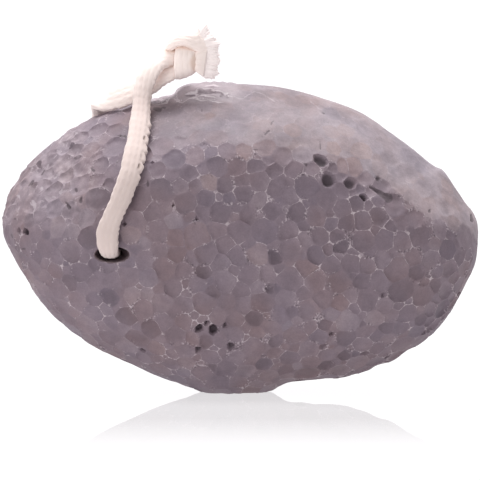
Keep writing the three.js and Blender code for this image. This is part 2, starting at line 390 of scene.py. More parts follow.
def nearest_cells(points, count=8):
    """The cells with the lowest power at each point, lowest first."""
    found = np.empty((len(points), count), int)
    batch = 4000
    for start in range(0, len(points), batch):
        part = points[start:start + batch]
        depth = (seeds**2).sum(1) - cell_radius**2 - 2 * part @ seeds.T
        low = np.argpartition(depth, count, axis=1)[:, :count]
        order = np.argsort(np.take_along_axis(depth, low, 1), axis=1)
        found[start:start + batch] = np.take_along_axis(low, order, 1)
    return found


# Points of the skin that lie near a wall are moved onto it, so that the walls run along edges.
skin_quads = np.array(skin_faces)
edges = np.vstack([skin_quads[:, [i, (i + 1) % 4]] for i in range(4)])
edges = np.unique(np.sort(edges, 1), axis=0)
looked_up = wander(skin)
owner = nearest_cells(looked_up)[:, 0]
start, end = edges[owner[edges[:, 0]] != owner[edges[:, 1]]].T
pair = np.stack([owner[start], owner[end]], 1)
start_step = np.diff(power(looked_up[start], pair), axis=1)[:, 0]
end_step = np.diff(power(looked_up[end], pair), axis=1)[:, 0]
crossing = start_step / (start_step - end_step)
span = skin[end] - skin[start]
movers = np.concatenate([start, end])
fraction = np.concatenate([crossing, 1 - crossing])
moves = fraction[:, None] * np.vstack([span, -span])
order = np.argsort(-fraction)
order = order[fraction[order] <= 0.5]
on_wall = np.zeros(len(skin), bool)
on_wall[movers[order]] = True
nudge = np.zeros_like(skin)
nudge[movers[order]] = moves[order]
skin = skin + nudge

# The quads are split along a wall where one runs from corner to corner, or else the short way.
a, b, c, d = skin_quads.T
wall_ac = on_wall[a] & on_wall[c]
wall_bd = on_wall[b] & on_wall[d]
shorter = norm(skin[a] - skin[c], axis=1) < norm(skin[b] - skin[d], axis=1)
use_ac = np.where(wall_ac != wall_bd, wall_ac, shorter)[:, None]
triangles = np.vstack([
    np.where(use_ac, np.stack([a, b, c], 1), np.stack([a, b, d], 1)),
    np.where(use_ac, np.stack([a, c, d], 1), np.stack([b, c, d], 1)),
])

# How far each point is from the nearest wall, rounded where walls meet.
WALL_ROUNDING = 0.27
ROUNDING_LOSS = 0.12  # added back where the rounding brings walls too near
PORE_DEPTH = 0.4  # a cell deeper than this share of its radius is an open pore
PORE_WIDTH = 0.95  # share of its cell's radius
looked_up = wander(skin)
near = nearest_cells(looked_up)
owner = near[:, 0]
deep_in = power(looked_up, near)
apart = norm(seeds[near[:, 1:]] - seeds[near[:, :1]], axis=2)
to_walls = (deep_in[:, 1:] - deep_in[:, :1]) / (2 * apart)
wall_gap = -WALL_ROUNDING * np.log(np.exp(-to_walls / WALL_ROUNDING).sum(1))
wall_gap = np.clip(wall_gap + ROUNDING_LOSS, 0, None)
wall_gap[on_wall] = 0
radius, depth = cell_radius[owner], cell_depth[owner]
from_middle = norm(looked_up - seeds[owner], axis=1)
is_pore = depth > PORE_DEPTH * radius
pore_gap = PORE_WIDTH * radius - from_middle
rim_gap = np.where(is_pore, np.minimum(wall_gap, np.abs(pore_gap) + 0.1), wall_gap)
wall_gap = np.where(is_pore, np.minimum(wall_gap, np.clip(pore_gap, 0, None)), wall_gap)

# The drilled hole has a pale worn rim and plain walls.
hole_span = HOLE_WIDTH + HOLE_HEIGHT
off_x, off_z = (skin[:, 0] - HOLE_X) / HOLE_WIDTH, (skin[:, 2] - HOLE_Z) / HOLE_HEIGHT
from_hole = np.hypot(off_x, off_z) * hole_span - hole_span / 2
RIM_WEAR, RIM_WIDTH = 0.16, 1
in_hole = ramp(-from_hole, -0.6, -0.1) * ramp(-np.abs(outward[:, 1]), -0.75, -0.5)
hole_gap = np.where(np.abs(from_hole) < RIM_WIDTH, RIM_WEAR * np.abs(from_hole), 1)
wall_gap = np.minimum(wall_gap, hole_gap)
rim_gap = np.minimum(rim_gap, hole_gap)
depth = depth * (1 - 0.7 * in_hole)

# The skin is sunk between the walls: dishes on the working face, flat ones on the rubbed facets,
# scallops under the far end, and lumps and hollows on the knobbly end.
rubbed = 0.35 * rubbed_at(skin) + 0.65 * rubbed_at(seeds)[owner]
knobbly = knobbly_at(skin)
edge_on = ramp(-np.abs(outward[:, 1]), -0.8, -0.4)
scalloped = ramp(skin[:, 0], 8, 20) * ramp(-skin[:, 2], -26, -18) * edge_on
DISH_SLOPE, PORE_SLOPE = 0.62, 0.5  # share of a cell's radius in which it gets to its full depth
DISH_ROUNDING = 2.4
cell_lift = random.normal(0, 1, len(seeds))
cell_tilt = random.normal(0, 0.06, (len(seeds), 3))
lean = ((skin - seeds[owner]) * cell_tilt[owner]).sum(1)
reach = np.where(is_pore, PORE_SLOPE, DISH_SLOPE) * radius
from_rim = np.clip(wall_gap / reach, 0, 1)
floor = 1 - (1 - from_rim) ** DISH_ROUNDING  # 0 on a wall, 1 on its cell's floor
dished = (1 - 0.8 * rubbed * ~is_pore) * (1 - 0.6 * knobbly * ~is_pore)
sunk = floor * (depth * dished + lean * (1 - 0.7 * rubbed))
pore = floor * depth
sunk += floor * (0.2 * knobbly + 0.3 * scalloped) * (1 + cell_lift[owner])
sunk += 0.12 * (lattice_noise(skin, 0.9, 31) - 0.5) * (1 + 2 * knobbly - 0.5 * rubbed)
sunk += 0.7 * knobbly * (lattice_noise(skin, 2.6, 32) - 0.5)
sunk += 0.3 * knobbly * (lattice_noise(skin, 1.3, 33) - 0.5)

# Folds where the skin of the molten glass wrinkled, at the top of the working side: crests, as
# lines on the drawing from left to right, how far each stands out, and how dark the painted shade in its
# pocket is.
FOLDS = [
    ([(-18.6, 60.9), (-17.1, 60.7), (-15.6, 60.6), (-14.5, 61.1), (-13.3, 61.1), (-12.5, 60.6),
      (-11.6, 61), (-10.2, 61.6), (-7.7, 61.4), (-6.3, 61.2), (-4.6, 60.6), (-2.6, 60.9)], 0.8, 0.2),
    ([(-17.3, 61.7), (-15.7, 61.9), (-14.2, 62.6), (-13.2, 63.3), (-12.1, 63.5)], 0.5, 0.4),
    ([(-12.5, 60.6), (-13.1, 62.2), (-13.2, 63.3)], 0.8, 0),
    ([(-11.9, 62.4), (-10.4, 62.7), (-9.2, 62.9), (-8.4, 63.6), (-7.8, 63.9)], 0.8, 1),
    ([(-8.2, 63.7), (-7.2, 63.5), (-5.7, 63.5), (-4.3, 63.1), (-3, 62.3), (-1.8, 62.6)], 1, 1),
    ([(-8.1, 64.2), (-6.8, 64.5), (-5.4, 64.5), (-3.9, 64.1)], 0.6, 0.6),
    ([(-3, 62.3), (-1.2, 61.8), (0.4, 61.5), (1.8, 62.4), (3, 63), (4.8, 62.6), (6.7, 61.3),
      (8.6, 60.3)], 0.28, 0.2),
    ([(-18.9, 61.7), (-17.4, 61.4), (-15.8, 61.1), (-14.4, 61.7)], 0.6, 0.7),
    ([(-10.9, 61.9), (-9.4, 62.2), (-7.6, 62.1), (-5.9, 61.9), (-4.4, 61.5)], 0.45, 0.5),
    ([(14.2, 61.4), (16.4, 59.7), (18, 58.9)], 0.25, 0.25),
    ([(21, 59.7), (24, 59), (27.3, 57), (31.5, 54.6)], 0.2, 0.1),
]

# Cracks and gouges: both ends on the drawing with the half-width there, and the depth.
GOUGES = [
    ((27.1, 43.3, 0.12), (31.3, 40.8, 0.95), 0.6), ((4.7, 53.6, 0.1), (6.1, 54.9, 0.22), 0.3),
    ((6.3, 55.8, 0.1), (6.9, 56.9, 0.2), 0.2), ((16.9, 51, 0.1), (16.8, 52.7, 0.06), 0.2),
    ((2.5, 50.9, 0.05), (3.6, 50.9, 0.14), 0.1), ((17.2, 58.7, 0.05), (17.7, 58.5, 0.2), 0.2),
    ((28.9, 44.9, 0.42), (29, 44.7, 0.42), 0.5), ((48.6, 37.3, 0.15), (48.8, 36, 0.35), 0.5),
    ((39.9, 38.4, 0.12), (39.8, 37.9, 0.28), 0.3), ((13.6, 47.9, 0.25), (13.9, 47.7, 0.28), 0.3),
    ((-45.8, 30, 0.2), (-45.4, 29.9, 0.15), 0.3), ((-48.2, 33, 0.22), (-48, 32.5, 0.22), 0.3),
    ((-44.4, 43.3, 0.1), (-43.5, 44.3, 0.26), 0.3), ((-34.6, 42.7, 0.28), (-34.5, 42.4, 0.28), 0.4),
    ((-33.3, 41.2, 0.1), (-33.5, 40, 0.36), 0.4), ((-36.8, 40.1, 0.1), (-35.9, 38.8, 0.42), 0.5),
    ((-25.8, 54, 0.1), (-24.8, 53.7, 0.3), 0.3), ((-24.2, 54, 0.2), (-23.9, 53.3, 0.22), 0.3),
    ((-19.5, 44.6, 0.1), (-19.3, 43.4, 0.35), 0.3), ((-47.3, 36.5, 0.14), (-47.3, 36.2, 0.14), 0.2),
    ((-18, 59.6, 0.3), (-17, 59.3, 0.5), 0.4), ((-16.4, 59.9, 0.1), (-15.8, 59.7, 0.25), 0.3),
    ((-42, 45.8, 0.1), (-41.2, 46.6, 0.25), 0.3),
    ((-8.2, 59.7, 0.05), (-7.9, 58.9, 0.16), 0.2), ((-31.6, 47.2, 0.1), (-30.8, 46.6, 0.3), 0.3),
]


def from_line(places, line):
    """Each place's distance from a line, the same below 0 under it, and its share of the way."""
    line = np.array(line, float)
    lengths = norm(np.diff(line, axis=0), axis=1)
    nearest = np.full(len(places), np.inf)
    height, share = np.zeros(len(places)), np.zeros(len(places))
    for i, (first, last) in enumerate(zip(line, line[1:])):
        span = last - first
        t = np.clip((places - first) @ span / (span @ span), 0, 1)
        gap = places - first - t[:, None] * span
        distance = np.hypot(*gap.T)
        closer = distance < nearest
        nearest[closer] = distance[closer]
        height[closer] = (distance * np.sign(span[0] * gap[:, 1] - span[1] * gap[:, 0]))[closer]
        share[closer] = ((lengths[:i].sum() + t * lengths[i]) / lengths.sum())[closer]
    return nearest, height, share


# For each point of the skin: how far the nearest crest is and on which side of it the point lies,
# how far the crest stands out and how clearly its painted highlight shows, and how dark the
# painted shade in the pocket under it is. The crests fade out at their ends, and are thin and broken
# here and there.
seen = drawn(skin)
in_front = outward[:, 1] < 0.3
CREST_WIDTH = 0.4
UNTOUCHED = 1.5  # farther than any fold reaches
crest_gap = np.full(len(skin), UNTOUCHED)
crest_side = np.full(len(skin), UNTOUCHED)
crest_lift = np.zeros(len(skin))
crest_highlight_strength = np.zeros(len(skin))
pocket_depth_and_shade = np.zeros(len(skin))
broken = ramp(lattice_noise(skin, 1.1, 43), 0.25, 0.6)
jagged = seen + 0.5 * np.stack([lattice_noise(skin, 1.3, seed) - 0.5 for seed in (44, 45)], 1)
for crest_points, standing, pocket_shade_darkness in FOLDS:
    distance, height, share = from_line(jagged, smooth_line(crest_points, 4))
    fade = ramp(share, 0, 0.15) * ramp(-share, -1, -0.85)
    thin = 0.3 * (1 - fade * (0.3 + 0.7 * standing) * (0.5 + 0.5 * broken))
    closer = in_front & (distance + thin < crest_gap)
    crest_gap[closer] = (distance + thin)[closer]
    crest_side[closer] = (height + thin * np.sign(height))[closer]
    ridge = np.exp(-(distance / CREST_WIDTH) ** 2)
    crest_lift = np.maximum(crest_lift, standing * fade * ridge * in_front)
    strong = standing * fade * (0.5 + 0.5 * broken) * (distance < 1) * in_front
    crest_highlight_strength = np.maximum(crest_highlight_strength, strong)
    under = ramp(-height, -0.1, 0.15) * ramp(height, -1.3, -0.6) * (distance < 1.4) * in_front
    pocket_depth_and_shade = np.maximum(pocket_depth_and_shade, pocket_shade_darkness * under * fade * (0.35 + 0.65 * broken))

# The gouges are sunk below the cells, and the folds take the place of the cells under them.
gouge_gap = np.ones(len(skin))
for (x1, z1, r1), (x2, z2, r2), deepness in GOUGES:
    distance, _, share = from_line(seen, [(x1, z1), (x2, z2)])
    from_edge = np.where(in_front, distance - r1 - (r2 - r1) * share, 1)
    gouge_gap = np.minimum(gouge_gap, from_edge)
    sunk = np.maximum(sunk, deepness * ramp(-from_edge, -0.15, 0.35))
seen_x, seen_z = seen.T
folded = ramp(seen_x, -21, -18.5) * ramp(-seen_x, -2, 2) * ramp(seen_z, 60.3, 61.2) * in_front
sunk = sunk * (1 - 0.8 * folded) - 0.25 * crest_lift + 0.45 * pocket_depth_and_shade
sunk += 0.7 * folded * (lattice_noise(skin, 1.8, 42) - 0.5)
skin = skin - outward * sunk[:, None]
skin[:, 2] = np.maximum(skin[:, 2], 0)

CREASE_ANGLE = math.radians(40)
stone = new_object("pumice_stone", skin, triangles.tolist())
stone_mesh = stone.data
stone_mesh.shade_smooth()
stone_mesh.set_sharp_from_angle(angle=CREASE_ANGLE)


def give(mesh, name, kind, domain, values):
    """Writes values for a material to read from the mesh."""
    layer = mesh.attributes.new(name, kind, domain)
    layer.data.foreach_set("vector" if kind == "FLOAT_VECTOR" else "value", np.ravel(values))


# A face takes the cell of a corner that isn't on a wall, if it has one.
corners = np.where(on_wall[triangles], len(seeds), owner[triangles])
face_owner = corners.min(1)
face_owner = np.where(face_owner == len(seeds), owner[triangles[:, 0]], face_owner)
cell_look = np.stack([cell_pale, cell_warmth, random.random(len(seeds))], 1)
give(stone_mesh, "cell_look", "FLOAT_VECTOR", "FACE", cell_look[face_owner])
for name, values in [
    ("wall_gap", rim_gap), ("rubbed", rubbed), ("pore", pore), ("crest_gap", crest_gap),
    ("crest_side", crest_side), ("crest_highlight_strength", crest_highlight_strength), ("pocket_depth_and_shade", pocket_depth_and_shade),
    ("gouge_gap", gouge_gap), ("folded", folded), ("knobbly", knobbly), ("in_hole", in_hole),
]:
    give(stone_mesh, name, "FLOAT", "POINT", values)


def linear(hex_colour):
    """An sRGB hex colour as linear numbers with full opacity."""
    parts = [int(hex_colour[i:i + 2], 16) / 255 for i in (1, 3, 5)]
    return tuple(c / 12.92 if c <= 0.04045 else ((c + 0.055) / 1.055) ** 2.4 for c in parts) + (1,)


def new_material(name):
    """An empty material: the material and its node tree."""
    material = bpy.data.materials.new(name)
    material.use_nodes = True
    material.node_tree.nodes.clear()
    return material, material.node_tree


def node(tree, kind, output=0, settings={}, **inputs):
    """Adds a node and gives one of its outputs, or the node itself where it has none.

    Its inputs go by name, or by number as i0, i1 and so on.
    """
    added = tree.nodes.new("ShaderNode" + kind)
    for name, value in settings.items():
        setattr(added, name, value)
    for name, value in inputs.items():
        key = int(name[1:]) if name[1:].isdigit() else name.replace("_", " ")
        if isinstance(value, bpy.types.NodeSocket):
            tree.links.new(value, added.inputs[key])
        else:
            added.inputs[key].default_value = value
    return added.outputs[output] if added.outputs else added


MIX = {"data_type": "RGBA"}
TINT = {"data_type": "RGBA", "blend_type": "MULTIPLY"}
SMOOTH = {"interpolation_type": "SMOOTHSTEP"}
TIMES = {"operation": "MULTIPLY"}
PLUS = {"operation": "ADD"}
UNSIGNED = {"operation": "ABSOLUTE"}

# Foamed volcanic glass, tumbled and rubbed smooth. The thin broken walls of its bubbles scatter
# the light, so it looks dull and stony with hardly a shine: cells of purplish grey, a pale net of
# walls round them, and glass dust on the rubbed facets, which are lightened further as painted sheen.
GRIT_SIZE = 0.32  # coarser than the real grit, which is too fine to show
pumice, tree = new_material("foamed_pumice")
place = node(tree, "TexCoord", "Object")
from_wall = node(tree, "Attribute", "Fac", {"attribute_name": "wall_gap"})
look = node(tree, "Attribute", "Vector", {"attribute_name": "cell_look"})
rub = node(tree, "Attribute", "Fac", {"attribute_name": "rubbed"})
pore_deep = node(tree, "Attribute", "Fac", {"attribute_name": "pore"})
knobs = node(tree, "Attribute", "Fac", {"attribute_name": "knobbly"})
crest = node(tree, "Attribute", "Fac", {"attribute_name": "crest_gap"})
crest_height = node(tree, "Attribute", "Fac", {"attribute_name": "crest_side"})
highlight_strength = node(tree, "Attribute", "Fac", {"attribute_name": "crest_highlight_strength"})
pocket_painted_shade = node(tree, "Attribute", "Fac", {"attribute_name": "pocket_depth_and_shade"})
gouge_edge = node(tree, "Attribute", "Fac", {"attribute_name": "gouge_gap"})
wrinkled = node(tree, "Attribute", "Fac", {"attribute_name": "folded"})
bored = node(tree, "Attribute", "Fac", {"attribute_name": "in_hole"})
pale = node(tree, "SeparateXYZ", "X", Vector=look)
warmth = node(tree, "SeparateXYZ", "Y", Vector=look)
patches = node(tree, "TexNoise", Vector=place, Scale=1 / (7 * MM), Detail=3)
tints = node(tree, "TexNoise", 1, Vector=place, Scale=1 / (11 * MM), Detail=2)
tint = node(tree, "SeparateXYZ", "X", Vector=tints)
mottle = node(tree, "TexNoise", Vector=place, Scale=1 / (1.4 * MM), Detail=3)
grain = node(tree, "TexNoise", Vector=place, Scale=1 / (GRIT_SIZE * MM), Detail=2)

# How pale the glass is: the cell's own tone, soft patches, and a mottle inside the cell.
GLASS_TONES = ["#5f525b", "#6d5f68", "#7c6d76", "#8d7f86", "#a4969c"]  # dark to pale
inside = node(tree, "MapRange", 0, SMOOTH, Value=from_wall, i1=0, i2=0.24, i3=0.3, i4=1)
pale = node(tree, "MapRange", Value=inside, i1=0, i2=1, i3=0.46, i4=pale)
patch_lift = node(tree, "MapRange", Value=patches, i1=0.3, i2=0.7, i3=-0.1, i4=0.1)
patch_spread = node(tree, "MapRange", Value=knobs, i1=0, i2=1, i3=1, i4=2.4)
patch_lift = node(tree, "Math", 0, TIMES, i0=patch_lift, i1=patch_spread)
mottle_spread = node(tree, "MapRange", Value=knobs, i1=0, i2=1, i3=0.06, i4=0.18)
mottle_lift = node(tree, "MapRange", Value=mottle, i1=0.35, i2=0.65, i3=-1, i4=1)
mottle_lift = node(tree, "Math", 0, TIMES, i0=mottle_lift, i1=mottle_spread)
pale = node(tree, "Math", 0, PLUS, i0=pale, i1=patch_lift)
pale = node(tree, "Math", 0, PLUS, i0=pale, i1=mottle_lift)
glass = node(tree, "ValToRGB", "Color", Fac=pale)
stops = glass.node.color_ramp.elements
for i, shade in enumerate(GLASS_TONES):
    stop = stops[i] if i < 2 else stops.new(1)
    stop.position = i / (len(GLASS_TONES) - 1)
    stop.color = linear(shade)

# The rubbed facets are filled with pale dust and painted sheen, paler to the right.
rightward = node(tree, "SeparateXYZ", "X", Vector=place)
dust_and_sheen_tone = node(tree, "MapRange", Value=rightward, i1=-18 * MM, i2=30 * MM, i3=0.1, i4=0.75)
dust_and_sheen_lift = node(tree, "MapRange", Value=patches, i1=0.35, i2=0.65, i3=-0.32, i4=0.32)
dust_and_sheen_tone = node(tree, "Math", 0, PLUS, i0=dust_and_sheen_tone, i1=dust_and_sheen_lift)
dust_and_sheen_lift = node(tree, "MapRange", Value=mottle, i1=0.3, i2=0.7, i3=-0.24, i4=0.24)
dust_and_sheen_tone = node(tree, "Math", 0, PLUS, i0=dust_and_sheen_tone, i1=dust_and_sheen_lift)
dust_and_sheen_tone = node(tree, "Mix", 2, MIX, i0=dust_and_sheen_tone, i6=linear("#756a70"), i7=linear("#a2969c"))
dust_and_sheen = node(tree, "MapRange", Value=rub, i1=0, i2=1, i3=0, i4=0.7)
glass = node(tree, "Mix", 2, MIX, i0=dust_and_sheen, i6=glass, i7=dust_and_sheen_tone)

# Some cells and patches are browner, and others bluer.
tint_lift = node(tree, "MapRange", Value=tint, i1=0.35, i2=0.65, i3=-0.65, i4=0.65)
warmth = node(tree, "Math", 0, TIMES, i0=warmth, i1=inside)
warmth = node(tree, "Math", 0, PLUS, i0=warmth, i1=tint_lift)
brown = node(tree, "MapRange", Value=warmth, i1=0, i2=1.3, i3=0, i4=0.55)
blue = node(tree, "MapRange", Value=warmth, i1=0, i2=-1.3, i3=0, i4=0.5)
browner = node(tree, "Mix", 2, TINT, i0=brown, i6=glass, i7=linear("#fbe6d6"))
glass = node(tree, "Mix", 2, TINT, i0=blue, i6=browner, i7=linear("#e2eaf6"))

# The folds are chalky, with painted shade in the pockets under their thin crests and a painted highlight
# along each crest.
chalky = node(tree, "MapRange", Value=wrinkled, i1=0, i2=1, i3=0, i4=0.6)
glass = node(tree, "Mix", 2, MIX, i0=chalky, i6=glass, i7=linear("#a2979d"))
# Painted shade in the pockets under the crests.
below = node(tree, "MapRange", 0, SMOOTH, Value=crest_height, i1=-0.1, i2=-0.35)
streaks = node(tree, "MapRange", 0, SMOOTH, Value=mottle, i1=0.3, i2=0.6, i3=0.3, i4=1)
pocket_painted_shade = node(tree, "MapRange", 0, SMOOTH, Value=pocket_painted_shade, i1=0.05, i2=0.8, i3=0, i4=0.85)
pocket_painted_shade = node(tree, "Math", 0, TIMES, i0=pocket_painted_shade, i1=below)
pocket_painted_shade = node(tree, "Math", 0, TIMES, i0=pocket_painted_shade, i1=streaks)
glass = node(tree, "Mix", 2, MIX, i0=pocket_painted_shade, i6=glass, i7=linear("#64585f"))
# Painted highlight along the thin crests.
crest_across = node(tree, "Math", 0, UNSIGNED, i0=crest_height)
crest_across = node(tree, "MapRange", 0, SMOOTH, Value=crest_across, i1=0.04, i2=0.24, i3=0.85, i4=0)
crest = node(tree, "MapRange", Value=crest, i1=0.35, i2=0.6, i3=1, i4=0)
crest = node(tree, "Math", 0, TIMES, i0=crest, i1=crest_across)
crest = node(tree, "Math", 0, TIMES, i0=crest, i1=highlight_strength)
glass = node(tree, "Mix", 2, MIX, i0=crest, i6=glass, i7=linear("#cfc5ca"))

# Painted highlights on the shiny facets of the knobbly end, over a slight lightening of the whole end.
facet_highlight = node(tree, "TexNoise", Vector=place, Scale=1 / (2.6 * MM), Detail=3, Distortion=0.8)
facet_highlight = node(tree, "MapRange", 0, SMOOTH, Value=facet_highlight, i1=0.58, i2=0.66, i3=0.14, i4=0.6)
facet_highlight = node(tree, "Math", 0, TIMES, i0=facet_highlight, i1=knobs)
glass = node(tree, "Mix", 2, MIX, i0=facet_highlight, i6=glass, i7=linear("#b3a8ae"))

# Walls: thin pale lines that come and go, crumbled where several meet.
strength = node(tree, "TexNoise", Vector=place, Scale=1 / (3.4 * MM), Detail=2)
strength = node(tree, "MapRange", 0, SMOOTH, Value=strength, i1=0.47, i2=0.64, i3=0, i4=0.95)
nibble = node(tree, "TexNoise", Vector=place, Scale=1 / (0.5 * MM), Detail=2)
wall_width = node(tree, "MapRange", Value=nibble, i1=0.38, i2=0.68, i3=0.02, i4=0.165)
wall = node(tree, "MapRange", 0, SMOOTH, Value=from_wall, i1=0, i2=wall_width, i3=1, i4=0)
wall = node(tree, "Math", 0, TIMES, i0=wall, i1=strength)
bare = node(tree, "MapRange", Value=rub, i1=0, i2=1, i3=1, i4=0.25)
unknobbed = node(tree, "MapRange", Value=knobs, i1=0, i2=1, i3=1, i4=0.45)
bare = node(tree, "Math", 0, TIMES, i0=bare, i1=unknobbed)
beads = node(tree, "MapRange", 0, SMOOTH, Value=grain, i1=0.36, i2=0.56, i3=0.55, i4=1)
wall = node(tree, "Math", 0, TIMES, i0=wall, i1=beads)
wall = node(tree, "Math", 0, TIMES, i0=wall, i1=bare)
glass = node(tree, "Mix", 2, MIX, i0=wall, i6=glass, i7=linear("#b4a7ac"))

# Crumbs: a fine web of pale specks where the walls are widest, and pinholes among them painted dark as
# shade.
clump = node(tree, "TexNoise", Vector=place, Scale=1 / (2.6 * MM), Detail=1)
clump = node(tree, "MapRange", 0, SMOOTH, Value=clump, i1=0.56, i2=0.68)
near_wall = node(tree, "MapRange", 0, SMOOTH, Value=from_wall, i1=0.25, i2=0.6, i3=1, i4=0)
clump = node(tree, "Math", 0, TIMES, i0=clump, i1=near_wall)
speck = node(tree, "TexNoise", Vector=place, Scale=1 / (0.42 * MM), Detail=2)
pale_speck = node(tree, "MapRange", 0, SMOOTH, Value=speck, i1=0.52, i2=0.64, i3=0, i4=0.8)
pinhole_shade = node(tree, "MapRange", 0, SMOOTH, Value=speck, i1=0.42, i2=0.34)
clump = node(tree, "Math", 0, TIMES, i0=clump, i1=bare)
pale_speck = node(tree, "Math", 0, TIMES, i0=pale_speck, i1=clump)
pinhole_shade = node(tree, "Math", 0, TIMES, i0=pinhole_shade, i1=clump)
glass = node(tree, "Mix", 2, MIX, i0=pale_speck, i6=glass, i7=linear("#ab9ea4"))
glass = node(tree, "Mix", 2, MIX, i0=pinhole_shade, i6=glass, i7=linear("#5a4f56"))

# Open pores and gouges are painted dark inside as shade, and the drilled hole is painted paler deep in than
# at its mouths, as painted light that lifts the shade inside it.
pore_shade = node(tree, "MapRange", 0, SMOOTH, Value=pore_deep, i1=0.25, i2=1, i3=0, i4=0.85)
glass = node(tree, "Mix", 2, MIX, i0=pore_shade, i6=glass, i7=linear("#473c43"))
gouge_edge = node(tree, "MapRange", 0, SMOOTH, Value=gouge_edge, i1=-0.06, i2=0.1, i3=0.72, i4=0)
glass = node(tree, "Mix", 2, MIX, i0=gouge_edge, i6=glass, i7=linear("#4b4046"))
depth_in = node(tree, "SeparateXYZ", "Y", Vector=place)
depth_in = node(tree, "Math", 0, UNSIGNED, i0=depth_in)
bore_tone_and_light = node(tree, "MapRange", 0, SMOOTH, Value=depth_in, i1=16.5 * MM, i2=18.5 * MM)
bore_tone_and_light = node(tree, "Mix", 2, MIX, i0=bore_tone_and_light, i6=linear("#b3a2a8"), i7=linear("#94868c"))
glass = node(tree, "Mix", 2, MIX, i0=bored, i6=glass, i7=bore_tone_and_light)

# Fine grit: specks of tone, and a rough feel.
grit = node(tree, "MapRange", Value=grain, i1=0.3, i2=0.7, i3=0.93, i4=1.07)
grit = node(tree, "CombineXYZ", X=grit, Y=grit, Z=grit)
glass = node(tree, "Mix", 2, TINT, i0=1, i6=glass, i7=grit)
rough = node(tree, "MapRange", Value=mottle, i1=0.3, i2=0.7, i3=0.55, i4=0.75)
bump = node(tree, "Bump", Strength=0.35, Distance=0.06 * MM, Height=grain)
bump = node(tree, "Bump", Strength=0.5, Distance=0.12 * MM, Height=mottle, Normal=bump)
surface = node(
    tree, "BsdfPrincipled", Base_Color=glass, Roughness=rough, Specular_IOR_Level=0.4, Normal=bump,
)
node(tree, "OutputMaterial", Surface=surface)
stone_mesh.materials.append(pumice)

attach(stone, "root")
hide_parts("stone")


# --------------------------------------------------------------
# The hanging cord: one length of flat knitted cotton tape, threaded through the hole, closed
# over the stone's shoulder and tied in an overhand knot, with its two cut ends left to fray.
# --------------------------------------------------------------

CORD_WIDTH = 4.2
CORD_THICKNESS = 2.2
LOOP_MIDDLE = np.array((-25, 6, 45))  # the flat side looks away from here
LEANING_LOOK = (-0.15, -0.92, 0.36)
LEAN_FROM, LEAN_TO = 27.5, 30  # points of the route between which the tape turns to lean

# From the knot down the front, through the hole, up the back and over to the knot again.
CORD_ROUTE = [
    (-17, -5.2, 69.2), (-18.9, -5.6, 67.1), (-20, -6.2, 64.4), (-20.4, -7.4, 61.4),
    (-20.6, -9.6, 58.5), (-20.9, -12.6, 55.8), (-21.3, -15.7, 52.8), (-21.9, -18.6, 49.8),
    (-22.7, -20.6, 46.3), (-24.4, -21.6, 41.5), (-25.9, -21.6, 38.2), (-26.9, -21.4, 35.6),
    (-27.2, -21.3, 34), (-27.1, -20.9, 31.9), (-26.9, -19.2, 30.5), (-26.7, -14, 30.1),
    (-26.7, 0, 30.1), (-26.7, 13, 30.1), (-26.9, 18.2, 30.2), (-27.3, 19.9, 31.3),
    (-27.6, 20.1, 33.3), (-27.8, 19.8, 36.5), (-28, 19.3, 40), (-28.3, 18.5, 44),
    (-28.6, 17.3, 48), (-28.9, 15, 52), (-29.1, 11.8, 55.9), (-29.2, 8, 58.8),
    (-29.1, 4.4, 60.4), (-28.3, 1.3, 61), (-26.5, -0.8, 61.6), (-24.2, -1.7, 62.4),
    (-21.8, -2, 63.3), (-19.3, -2.2, 64.3), (-16.9, -2.6, 66),
]
# The tape's width at the first and the last points of the route: it is pulled narrow by the knot
# and in the hole, and spreads where it lies over the shoulder.
FRONT_WIDTHS = [
    4.1, 4.1, 3.8, 3.6, 3.8, 3.9, 4, 4.1, 4.1, 3.9, 3.9, 4.1, 4.3, 4.1, 3.5, 3.5, 3.6, 3.6,
]
BACK_WIDTHS = [4.2, 4.4, 4.7, 4.9, 4.9, 4.7, 4.3, 3.9]

# The upper end, from its frayed tip back through the knot to the start of the route: place,
# width and thickness there, and the way the flat side looks.
UPPER_END = [
    (-7.3, -6.5, 74.2, 5.2, 0.6, 0.1, -1, 0),
    (-8.1, -6.7, 73.7, 4.7, 1.4, 0, -1, 0),
    (-9.6, -7, 73.6, 3.6, 1.7, 0, -1, 0.1),
    (-11.3, -7.2, 73.9, 2.7, 1.8, 0, -0.95, 0.3),
    (-12.9, -6.9, 73.9, 2.7, 1.8, -0.1, -0.9, 0.4),
    (-14, -5.8, 73.3, 2.8, 1.8, -0.4, -0.7, 0.5),
    (-14.4, -3.9, 72.2, 2.9, 1.8, -0.8, 0, 0.6),
    (-14.2, -1.9, 70.4, 3.4, 1.8, -0.4, 1, 0.2),
    (-13.3, -1, 68.7, 3.8, 1.9, 0, 1, 0),
    (-12.2, -1.9, 67.3, 4.2, 1.9, 0.2, 0.7, -0.7),
    (-11.5, -4.3, 67, 4.4, 1.9, 0.35, 0, -0.94),
    (-11.4, -6.4, 67.6, 4.4, 1.9, 0.2, -0.8, -0.55),
    (-11.4, -7, 69.2, 4.5, 1.9, 0, -1, 0),
    (-11.4, -6.8, 71, 4.4, 1.9, 0, -1, 0.2),
    (-11.1, -5.7, 72.5, 4, 1.9, 0, -0.7, 0.7),
    (-10.3, -4, 73, 3.2, 2, 0.2, 0, 1),
    (-9.1, -3.2, 72.2, 2.8, 2.3, 0.9, 0.4, 0.4),
    (-9, -3.9, 70.9, 2.8, 2.4, 0.8, -0.6, 0),
    (-10.4, -4.5, 70.4, 2.8, 2.4, 0, -1, 0),
    (-12.4, -4.6, 70.4, 2.8, 2.4, 0, -1, 0),
    (-14.8, -4.9, 70.2, 3.5, 2.3, -0.2, -1, 0.3),
]
